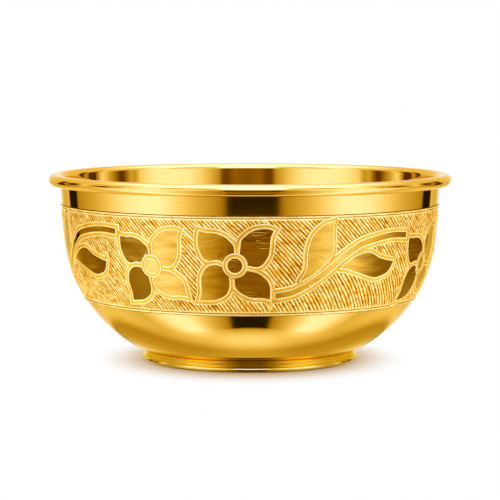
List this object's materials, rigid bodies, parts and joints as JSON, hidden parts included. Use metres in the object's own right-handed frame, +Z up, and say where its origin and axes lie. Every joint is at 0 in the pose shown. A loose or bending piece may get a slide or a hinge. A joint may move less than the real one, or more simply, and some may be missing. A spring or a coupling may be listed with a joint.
{
  "type": "metal bowl",
  "caption": "Round gold-coloured metal bowl on a low foot ring, with a rolled rim and a raised floral frieze band.",
  "frame": {"origin": "centre of the foot ring, on the surface that the bowl stands on", "axes": "+Z up through the mouth of the bowl, -Y towards the side with the flowers that faces the viewer, +X to the viewer's right"},
  "size_m": [0.2, 0.2, 0.0925],
  "materials": {
    "polished_gold": "mirror polished gold colour",
    "chased_gold": "gold colour, hatched matte ground with polished relief",
    "foot_gold": "mirror polished gold colour",
    "core_wire": "drawn wire, out of sight in the roll",
    "solder": "satin fillet of hard solder"
  },
  "bodies": {
    "root": {"bowl_shell": "polished_gold", "rim_wire": "core_wire", "frieze_band": "chased_gold", "foot_ring": "foot_gold", "foot_solder": "solder"}
  },
  "joints": []
}
